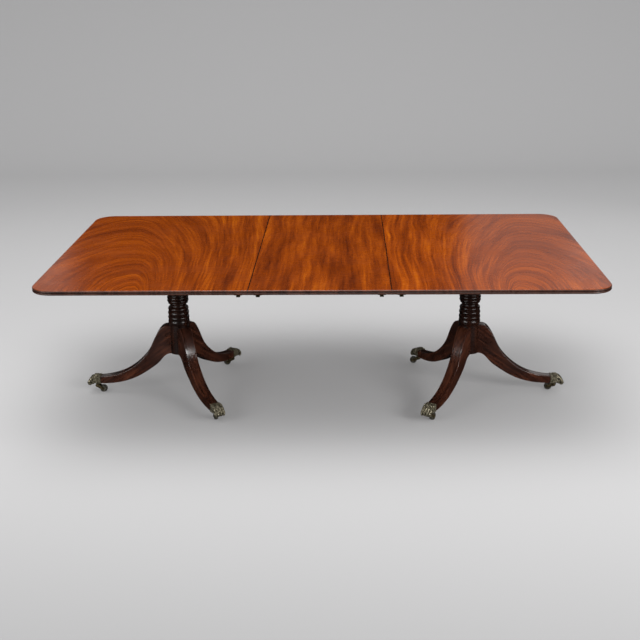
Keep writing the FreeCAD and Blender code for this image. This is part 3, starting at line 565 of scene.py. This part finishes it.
def screw_tree():
    """Instances of one slotted screw on points that carry the way each head faces."""
    tree = bpy.data.node_groups.new("slotted_screws", "GeometryNodeTree")
    face = tree.interface
    face.new_socket("Geometry", in_out="INPUT", socket_type="NodeSocketGeometry")
    inputs = {}
    for title in ("Head Radius", "Head Depth", "Shank Radius", "Length", "Slot Width", "Slot Depth"):
        inputs[title] = face.new_socket(title, in_out="INPUT", socket_type="NodeSocketFloat")
    inputs["Seed"] = face.new_socket("Seed", in_out="INPUT", socket_type="NodeSocketInt")
    inputs["Metal"] = face.new_socket("Metal", in_out="INPUT", socket_type="NodeSocketMaterial")
    face.new_socket("Geometry", in_out="OUTPUT", socket_type="NodeSocketGeometry")
    given = grow(tree, "NodeGroupInput").outputs

    def less(term):
        return sum_of(tree, "MULTIPLY", term, -1.0)

    def shifted(geometry, high):
        move = grow(tree, "GeometryNodeTransform")
        drop = grow(tree, "ShaderNodeCombineXYZ")
        put(tree, drop.inputs["Z"], high)
        tree.links.new(geometry, move.inputs["Geometry"])
        tree.links.new(drop.outputs[0], move.inputs["Translation"])
        return move.outputs[0]

    head = grow(tree, "GeometryNodeMeshCone", Vertices=28)
    for title, term in (("Radius Top", given["Head Radius"]), ("Radius Bottom", given["Shank Radius"]),
                        ("Depth", given["Head Depth"])):
        put(tree, head.inputs[title], term)
    shank = grow(tree, "GeometryNodeMeshCylinder", Vertices=14)
    put(tree, shank.inputs["Radius"], given["Shank Radius"])
    put(tree, shank.inputs["Depth"], given["Length"])
    slot = grow(tree, "GeometryNodeMeshCube")
    size = grow(tree, "ShaderNodeCombineXYZ")
    put(tree, size.inputs["X"], sum_of(tree, "MULTIPLY", given["Head Radius"], 3.0))
    put(tree, size.inputs["Y"], given["Slot Width"])
    put(tree, size.inputs["Z"], sum_of(tree, "MULTIPLY", given["Slot Depth"], 2.0))
    tree.links.new(size.outputs[0], slot.inputs["Size"])
    cut = grow(tree, "GeometryNodeMeshBoolean", operation="DIFFERENCE")
    tree.links.new(shifted(head.outputs["Mesh"], less(given["Head Depth"])), cut.inputs["Mesh 1"])
    tree.links.new(slot.outputs["Mesh"], cut.inputs["Mesh 2"])
    below = sum_of(tree, "MULTIPLY_ADD", given["Length"], -0.5, less(given["Head Depth"]))
    both = grow(tree, "GeometryNodeJoinGeometry")
    tree.links.new(cut.outputs["Mesh"], both.inputs[0])
    tree.links.new(shifted(shank.outputs["Mesh"], below), both.inputs[0])
    facing = grow(tree, "GeometryNodeInputNamedAttribute", data_type="FLOAT_VECTOR", Name="facing")
    align = grow(tree, "FunctionNodeAlignRotationToVector", axis="Z")
    tree.links.new(facing.outputs["Attribute"], align.inputs["Vector"])
    chance = grow(tree, "FunctionNodeRandomValue", data_type="FLOAT")
    tree.links.new(given["Seed"], chance.inputs["Seed"])
    spin = grow(tree, "ShaderNodeCombineXYZ")
    put(tree, spin.inputs["Z"], sum_of(tree, "MULTIPLY", chance.outputs[1], math.pi))
    turn = grow(tree, "FunctionNodeRotateRotation", rotation_space="LOCAL")
    tree.links.new(align.outputs[0], turn.inputs[0])
    tree.links.new(spin.outputs[0], turn.inputs[1])
    spread = grow(tree, "GeometryNodeInstanceOnPoints")
    tree.links.new(given["Geometry"], spread.inputs["Points"])
    tree.links.new(both.outputs[0], spread.inputs["Instance"])
    tree.links.new(turn.outputs[0], spread.inputs["Rotation"])
    solid = grow(tree, "GeometryNodeRealizeInstances")
    tree.links.new(spread.outputs[0], solid.inputs[0])
    finish = grow(tree, "GeometryNodeSetMaterial")
    tree.links.new(solid.outputs[0], finish.inputs["Geometry"])
    tree.links.new(given["Metal"], finish.inputs["Material"])
    tree.links.new(finish.outputs[0], grow(tree, "NodeGroupOutput").inputs[0])
    return tree, {title: socket.identifier for title, socket in inputs.items()}


slotted_screws, screw_inputs = screw_tree()
HEAD_DEPTH, SLOT_WIDTH, SLOT_DEPTH = 0.62, 0.26, 0.30


def screw_boxes(node):
    """The box of every single screw in a group of screws, in the same order on every run."""
    bm = bmesh.new()
    bm.from_mesh(nodes[node].data)
    bmesh.ops.remove_doubles(bm, verts=bm.verts, dist=1e-6)
    left = dict.fromkeys(bm.verts)
    while left:
        ends = [left.popitem()[0]]
        whole = list(ends)
        while ends:
            for edge in ends.pop().link_edges:
                for vert in edge.verts:
                    if vert in left:
                        del left[vert]
                        ends.append(vert)
                        whole.append(vert)
        places = [vert.co for vert in whole]
        yield (Vector(min(place[axis] for place in places) for axis in range(3)),
               Vector(max(place[axis] for place in places) for axis in range(3)))
    bm.free()


def drive_screws(node, slot, metal, heads, size, seed):
    """Replaces a group of screws by slotted ones; heads are (point, way it faces) pairs."""
    mesh = bpy.data.meshes.new(node + "_points")
    mesh.from_pydata([point for point, way in heads], [], [])
    facing = mesh.attributes.new("facing", "FLOAT_VECTOR", "POINT")
    facing.data.foreach_set("vector", [part for point, way in heads for part in way])
    holder = bpy.data.objects.new(node + "_points", mesh)
    bpy.context.scene.collection.objects.link(holder)
    head, shank, length = size
    maker = holder.modifiers.new("screws", "NODES")
    maker.node_group = slotted_screws
    values = {"Head Radius": head, "Head Depth": head * HEAD_DEPTH, "Shank Radius": shank, "Length": length,
              "Slot Width": head * SLOT_WIDTH, "Slot Depth": head * SLOT_DEPTH, "Seed": seed, "Metal": metal}
    for title, value in values.items():
        maker[screw_inputs[title]] = value
    holder.update_tag()
    ready = holder.evaluated_get(bpy.context.evaluated_depsgraph_get())
    made = bpy.data.meshes.new_from_object(ready)
    bpy.data.objects.remove(holder)
    added(node.replace("screws", "slotted_screws"), made, "table", slot, node)


steel = old_metal("screw_steel", (0.12, 0.115, 0.11), (0.30, 0.29, 0.275), (0.48, 0.47, 0.45),
                  (0.25, 0.50), 320.0)
screw_brass = old_metal("screw_brass", (0.10, 0.072, 0.028), (0.26, 0.20, 0.085), (0.46, 0.36, 0.17),
                        (0.26, 0.46), 320.0)
DOWN = Vector((0.0, 0.0, -1.0))
UNDER_SCREWS = (("bearer_screws", "screw_steel", steel, (4.6, 2.4), 11),
                ("block_screws", "screw_steel", steel, (5.0, 2.6), 12),
                ("strap_screws", "screw_steel", steel, (3.8, 1.9), 13),
                ("keeper_screws", "screw_brass", screw_brass, (2.9, 1.5), 14))
for node, slot, metal, (head, shank), seed in UNDER_SCREWS:
    boxes = list(screw_boxes(node))
    heads = [(((low + high) / 2).xy.to_3d() + Vector((0.0, 0.0, low.z)), DOWN) for low, high in boxes]
    long = max(high.z - low.z for low, high in boxes)
    drive_screws(node, slot, metal, heads, (head * MM, shank * MM, long - head * HEAD_DEPTH * MM), seed)


def leg_way(degrees):
    """The level direction in which a leg runs out."""
    return Vector((math.cos(math.radians(degrees)), math.sin(math.radians(degrees)), 0.0))


CAP_SCREW, CAP_SCREW_PROUD = (2.7 * MM, 1.4 * MM, 9 * MM), 0.4
leg_ways = [leg_way(degrees) for degrees in LEG_TURNS.values()]
cap_heads = []
for low, high in screw_boxes("cap_screws"):
    middle = (low + high) / 2
    stand = Vector((math.copysign(column_x, middle.x), 0.0, middle.z))
    outward = (middle - stand).normalized()
    along = min(leg_ways, key=lambda way: (outward - way).length)
    square = Vector((-along.y, along.x, 0.0))
    way = square * math.copysign(1.0, (middle - stand).dot(square))
    foot = stand + along * (middle - stand).dot(along)
    cap_heads.append((foot + way * (SLEEVE_HALF + CAP_SCREW_PROUD) * MM, way))
drive_screws("cap_screws", "screw_brass", screw_brass, cap_heads, CAP_SCREW, 15)


# Castors: a cast brass horn that turns on its pin, a turned brass wheel and a riveted axle.
# The wheels carry the table and have gone dull and grey, and the horns have darkened.

castor_brass = old_metal("castor_brass", (0.030, 0.023, 0.012), (0.105, 0.078, 0.038), (0.28, 0.215, 0.11),
                         (0.30, 0.52), 150.0, bare=0.75)
wheel_brass = old_metal("wheel_brass", (0.045, 0.041, 0.033), (0.125, 0.115, 0.092), (0.28, 0.26, 0.21),
                        (0.30, 0.52), 130.0, bare=0.65)
for place in LEG_TURNS:
    dress(place + "_castor_horn", castor_brass)
    dress(place + "_castor_axle", castor_brass)
    dress(place + "_castor_wheel", wheel_brass)


# Under-frame: a planed mahogany block and two bearers under each end, left unpolished.
# They are screwed up into the board, and loose tongues line the boards up at the seams.

def plain_wood(name, turn, offset):
    """Dry, unpolished mahogany with open pores and old dust in them."""
    material, tree, shader, where = new_material(name)
    lengthwise = turned_to_grain(tree, where, turn, offset)
    grain = use_group(tree, wood_grain, Vector=lengthwise, Along=5.0, Across=110.0)
    film = use_group(tree, polish_marks, Vector=where, Low=0.52, High=0.72)
    stops = ((0.30, (0.070, 0.030, 0.013)), (0.52, (0.140, 0.064, 0.028)), (0.72, (0.215, 0.105, 0.048)))
    colour = ramp_of(tree, grain["Grain"], stops)
    pore = ranged(tree, grain["Pores"], 0.44, 0.28)
    put(tree, shader.inputs["Base Color"], blended(tree, pore, colour, (0.035, 0.016, 0.008)))
    put(tree, shader.inputs["Roughness"], film["Roughness"])
    bumped(tree, shader, grain["Pores"], 0.25, 0.0005)
    return material


frame_wood = plain_wood("underframe_wood", (0.0, 0.0, 0.0), (0.2, 0.5, 0.1))
for word in SIDES:
    dress(word + "_block", frame_wood)
    for edge in ("front", "rear"):
        dress("%s_%s_bearer" % (word, edge), frame_wood)
dress("leaf_pegs", frame_wood)


# Top boards: figured mahogany with the grain across the table, planed flat and French polished.
# The ends show an arched figure round the heart of the log, the leaf has straighter grain,
# and the double reeded edge is stained dark and painted darker as shade, with painted shade in its groove
# and a painted highlight on its upper arris.

def board_figure_group():
    """The figure of a wide board, sawn flat through a log whose heart runs out under its front edge."""
    group, given, made = new_group("board_figure", (
        ("Vector", (0.0, 0.0, 0.0)), ("Seed", (0.0, 0.0, 0.0)), ("Outward", 1.0), ("Heart", 0.88),
        ("Heart Lean", 0.17), ("Depth", 0.02), ("Dip", 0.16), ("Spread", 0.45), ("Swirl", 0.03)),
        ("Tone", "Streak"))
    split = grow(group, "ShaderNodeSeparateXYZ")
    put(group, split.inputs[0], given["Vector"])
    y = split.outputs["Y"]
    outer = sum_of(group, "MULTIPLY", split.outputs["X"], given["Outward"])

    def layer(vector, size, detail, roughness):
        scaled = vector_sum(group, "MULTIPLY", vector, size)
        return noise_of(group, vector_sum(group, "ADD", scaled, given["Seed"]), detail, roughness)

    # Growth lines are rings about the heart, which leans across the board and dips under it
    aside = sum_of(group, "SUBTRACT", outer, given["Heart"])
    near = ranged(group, sum_of(group, "ABSOLUTE", aside), 0.40, 0.10)
    lean = sum_of(group, "MULTIPLY", sum_of(group, "MULTIPLY", given["Heart Lean"], near), y)
    aside = sum_of(group, "SUBTRACT", aside, lean)
    slow = sum_of(group, "SUBTRACT", layer(given["Vector"], (3.2, 1.6, 0.0), 2.0, 0.5), 0.5)
    aside = sum_of(group, "MULTIPLY_ADD", slow, given["Swirl"], aside)
    beyond = sum_of(group, "GREATER_THAN", aside, 0.0)
    thin = sum_of(group, "MULTIPLY_ADD", beyond, sum_of(group, "SUBTRACT", given["Spread"], 1.0), 1.0)
    aside = sum_of(group, "MULTIPLY", aside, thin)
    below = sum_of(group, "MULTIPLY_ADD", sum_of(group, "ADD", y, HALF_WIDTH), given["Dip"], given["Depth"])
    ring = sum_of(group, "SQRT", sum_of(
        group, "ADD", sum_of(group, "MULTIPLY", aside, aside), sum_of(group, "MULTIPLY", below, below)))
    quick = sum_of(group, "SUBTRACT", layer(given["Vector"], (14.0, 5.0, 0.0), 3.0, 0.55), 0.5)
    ring = sum_of(group, "MULTIPLY_ADD", quick, 0.008, ring)
    lines = grow(group, "ShaderNodeCombineXYZ")
    put(group, lines.inputs["X"], ring)
    put(group, lines.inputs["Y"], y)
    grain = lines.outputs[0]
    # Broad bands and streaks in straight grain give way to fine lines round the heart
    streak = layer(grain, (75.0, 2.1, 0.0), 3.0, 0.55)
    tone = 0.5
    for value, straight, arched in ((layer(grain, (21.0, 1.1, 0.0), 2.0, 0.5), 0.34, 0.15),
                                    (streak, 0.30, 0.15),
                                    (layer(grain, (270.0, 5.0, 0.0), 3.0, 0.6), 0.17, 0.22),
                                    (layer(grain, (620.0, 3.0, 0.0), 2.0, 0.6), 0.08, 0.28),
                                    (layer(given["Vector"], (34.0, 60.0, 0.0), 2.0, 0.5), 0.08, 0.06)):
        weight = sum_of(group, "MULTIPLY_ADD", near, arched - straight, straight)
        tone = sum_of(group, "MULTIPLY_ADD", sum_of(group, "SUBTRACT", value, 0.5), weight, tone)
    put(group, made["Tone"], tone)
    put(group, made["Streak"], streak)
    return group


leaf_low, leaf_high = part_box("centre_leaf")
SEAM_X, HALF_WIDTH, TOP_FACE = leaf_high
REED_MIDDLE = (leaf_low[2] + TOP_FACE) / 2
board_figure = board_figure_group()


def polished_board(name, lift, **figure):
    """A polished board: figured face, a reeded edge stained dark and painted darker as shade, painted shade
    in the groove between the reeds, a painted highlight on the upper arris, and a dark line along each seam.
    """
    material, tree, shader, where = new_material(name)
    wood = use_group(tree, board_figure, Vector=where, **figure)
    film = use_group(tree, polish_marks, Vector=where, Low=0.23, High=0.30)
    stops = ((0.36, (0.075, 0.0105, 0.0012)), (0.44, (0.148, 0.0235, 0.0013)),
             (0.50, (0.218, 0.0365, 0.0013)), (0.56, (0.305, 0.0570, 0.0016)),
             (0.63, (0.430, 0.1000, 0.0024)))
    lifted = [(place, tuple(part * lift for part in shade)) for place, shade in stops]
    face = ramp_of(tree, wood["Tone"], lifted)
    split = grow(tree, "ShaderNodeSeparateXYZ")
    put(tree, split.inputs[0], where)
    # A dark line along each seam, darkest within 1.2 mm of the joint
    from_middle = sum_of(tree, "ABSOLUTE", split.outputs["X"])
    seam = sum_of(tree, "ABSOLUTE", sum_of(tree, "SUBTRACT", from_middle, SEAM_X))
    face = blended(tree, ranged(tree, seam, 3.4 * MM, 1.2 * MM), face, (0.022, 0.0065, 0.0030))
    # The edge is stained dark and painted darker still, as painted shade on the upright edge
    edge = ramp_of(tree, wood["Streak"], ((0.32, (0.034, 0.0165, 0.0125)), (0.66, (0.080, 0.0335, 0.0225))))
    # Painted shade: the groove between the two reeds is made nearly black
    groove_shade_distance = sum_of(tree, "ABSOLUTE", sum_of(tree, "SUBTRACT", split.outputs["Z"], REED_MIDDLE))
    edge = blended(tree, ranged(tree, groove_shade_distance, 2.0 * MM, 0.6 * MM), edge, (0.004, 0.0022, 0.0016))
    # Painted highlight: the face colour runs over the upper arris, as a light line above the darker edge
    arris_face_and_highlight = ranged(tree, split.outputs["Z"], TOP_FACE - 1.6 * MM, TOP_FACE - 0.3 * MM)
    put(tree, shader.inputs["Base Color"], blended(tree, arris_face_and_highlight, edge, face))
    put(tree, shader.inputs["Roughness"], film["Roughness"])
    shader.inputs["Coat Weight"].default_value = 0.20
    shader.inputs["Coat Roughness"].default_value = 0.22
    return material


dress("left_end_top", polished_board(
    "left_end_mahogany", 0.93, Seed=(0.31, 0.72, 0.0), Outward=-1.0, Heart=0.872, Heart_Lean=0.17,
    Depth=0.030, Dip=0.17, Spread=0.42, Swirl=0.05))
dress("centre_leaf", polished_board(
    "leaf_mahogany", 0.95, Seed=(5.2, 1.9, 0.0), Outward=1.0, Heart=-1.6, Heart_Lean=0.04,
    Depth=0.1, Dip=0.0, Swirl=0.05))
dress("right_end_top", polished_board(
    "right_end_mahogany", 1.08, Seed=(2.6, 3.4, 0.0), Outward=1.0, Heart=0.905, Heart_Lean=0.15,
    Depth=0.030, Dip=0.16, Spread=0.40, Swirl=0.07))


# Leaf clips and keepers: forked clips of filed brass slid into screwed brass channels.
# They pull the boards together under the front and rear edges, and have dulled out of sight.

clip_brass = old_metal("clip_brass", (0.045, 0.033, 0.015), (0.15, 0.112, 0.05), (0.34, 0.265, 0.125),
                       (0.28, 0.48), 140.0)
for word in SIDES:
    for edge in ("front", "rear"):
        dress("%s_%s_clip" % (word, edge), clip_brass)
for node in ("left_end_keepers", "leaf_keepers", "right_end_keepers"):
    dress(node, clip_brass)


# Studio: a sheet of pale paper that sweeps up from the floor into a plain wall, painted darker in places as
# shade and glowing faintly as painted light.
# Soft banks of light stand round it, and the camera where the photograph was taken from.

PAPER_NEAR, PAPER_RUN = -4.0, 12.0
# Painted shade: the pale paper is darker near the camera and towards the wall, to even out how the lamps
# fall on it
PAPER_TONES_AND_SHADE = ((0.05, (0.172, 0.170, 0.171)), (0.15, (0.240, 0.238, 0.239)), (0.28, (0.388, 0.384, 0.385)),
               (0.50, (0.385, 0.381, 0.382)), (1.0, (0.322, 0.318, 0.319)))


def studio_sweep():
    """One sheet: floor, a wide curve and the wall behind, painted darker near the camera and far off as
    shade, and glowing faintly as painted light.
    """
    half, near, turn, radius, high = 16.0, -10.0, 5.5, 2.5, 9.0
    profile = [(near, 0.0), (turn, 0.0)]
    for step in range(1, 17):
        angle = math.pi / 2 * step / 16
        profile.append((turn + radius * math.sin(angle), radius * (1 - math.cos(angle))))
    profile.append((turn + radius, high))
    mesh = bpy.data.meshes.new("studio_sweep")
    points = [(side * half, y, z) for y, z in profile for side in (-1, 1)]
    faces = [(2 * i, 2 * i + 1, 2 * i + 3, 2 * i + 2) for i in range(len(profile) - 1)]
    mesh.from_pydata(points, [], faces)
    mesh.shade_smooth()
    sweep = bpy.data.objects.new("studio_sweep", mesh)
    bpy.context.scene.collection.objects.link(sweep)
    material, tree, shader, where = new_material("studio_paper")
    split = grow(tree, "ShaderNodeSeparateXYZ")
    put(tree, split.inputs[0], where)
    away = sum_of(tree, "MULTIPLY_ADD", split.outputs["Y"], 1 / PAPER_RUN, -PAPER_NEAR / PAPER_RUN)
    put(tree, shader.inputs["Base Color"], ramp_of(tree, away, PAPER_TONES_AND_SHADE))
    shader.inputs["Roughness"].default_value = 0.95
    # Painted light: a faint glow of the paper's own, which lightens the shadow under the table
    shader.inputs["Emission Color"].default_value = (1.0, 0.99, 0.995, 1.0)
    shader.inputs["Emission Strength"].default_value = 0.10
    mesh.materials.append(material)
    sweep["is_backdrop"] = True
    return sweep


sweep = studio_sweep()
sweep.visible_glossy = False

# The room beyond the lights is bright to matt surfaces, but polished ones see it dark
ROOM_LIGHT, ROOM_IN_POLISH = 0.85, 0.003
world = bpy.data.worlds.new("studio_air")
bpy.context.scene.world = world
world.use_nodes = True
air = world.node_tree
background = air.nodes["Background"]
background.inputs["Color"].default_value = (0.98, 0.99, 1.0, 1.0)
glossy = grow(air, "ShaderNodeLightPath").outputs["Is Glossy Ray"]
strength = sum_of(air, "MULTIPLY_ADD", glossy, ROOM_IN_POLISH - ROOM_LIGHT, ROOM_LIGHT)
put(air, background.inputs["Strength"], strength)


def soft_light(name, place, target, size, power):
    """A soft rectangle of light that the camera itself doesn't see."""
    lamp = bpy.data.lights.new(name, "AREA")
    lamp.shape = "RECTANGLE"
    lamp.size, lamp.size_y = size
    lamp.energy = power
    holder = bpy.data.objects.new(name, lamp)
    holder.location = place
    holder.rotation_euler = (Vector(target) - Vector(place)).to_track_quat("-Z", "Y").to_euler()
    holder.visible_camera = False
    bpy.context.scene.collection.objects.link(holder)
    return holder


soft_light("overhead_bank", (-0.4, -0.4, 4.6), (0, 0, 0.7), (5.0, 3.2), 180)
# The banks light what is matt. The low cards and high windows show only in polish, from where
# the top doesn't throw them back at someone who stands behind the table
FRONT_LIGHTS = ("front_right", 3.5, 136, 27, 62), ("front_left", -3.4, 48, 30, 22)
for name, side, bank, card, window in FRONT_LIGHTS:
    target = (math.copysign(0.4, side), 0, 0.3)
    matt = soft_light(name + "_bank", (side * 1.04, -3.43, 2.15), target, (2.6, 1.4), bank)
    matt.visible_glossy = False
    low_and_high = ("_card", 0.37, (3.0, 0.68), card), ("_window", 3.2, (1.1, 1.1), window)
    for title, high, size, power in low_and_high:
        polish_only = soft_light(name + title, (side, -3.3, high), target, size, power)
        polish_only.visible_diffuse = False
soft_light("left_rear_card", (-3.05, 3.4, 1.9), (-0.9, 0, 0.72), (1.8, 1.4), 2.8)
soft_light("right_rear_card", (1.45, 3.4, 1.7), (0.9, 0, 0.72), (0.8, 1.8), 1.0)
soft_light("far_right_card", (2.95, 3.4, 1.7), (0.9, 0, 0.72), (2.2, 1.8), 5.4)

# The camera stands where the photograph's vanishing lines put it
CAMERA_PLACE = Vector((0.10852, -4.67189, 1.97294))
CAMERA_YAW = 0.0270
CAMERA_PITCH = 0.33145
CAMERA_ROLL = -0.01151
FOCAL_PIXELS = 1038.21
IMAGE_PIXELS = 640
SENSOR = 36.0
right = Vector((math.cos(CAMERA_YAW), math.sin(CAMERA_YAW), 0.0))
level = Vector((-math.sin(CAMERA_YAW), math.cos(CAMERA_YAW), 0.0))
ahead = level * math.cos(CAMERA_PITCH) - Vector((0.0, 0.0, math.sin(CAMERA_PITCH)))
upward = right.cross(ahead)
rolled_right = right * math.cos(CAMERA_ROLL) + upward * math.sin(CAMERA_ROLL)
rolled_up = upward * math.cos(CAMERA_ROLL) - right * math.sin(CAMERA_ROLL)
lens = bpy.data.cameras.new("camera")
lens.sensor_width = SENSOR
lens.lens = SENSOR * FOCAL_PIXELS / IMAGE_PIXELS
camera = bpy.data.objects.new("camera", lens)
facing = Matrix((rolled_right, rolled_up, -ahead)).transposed().to_4x4()
camera.matrix_world = Matrix.Translation(CAMERA_PLACE) @ facing
bpy.context.scene.collection.objects.link(camera)
bpy.context.scene.camera = camera
bpy.context.scene.view_settings.view_transform = "Standard"

boxes = {"cad": [list(corner) for corner in cad_box], "visual": [list(corner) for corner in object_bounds()]}
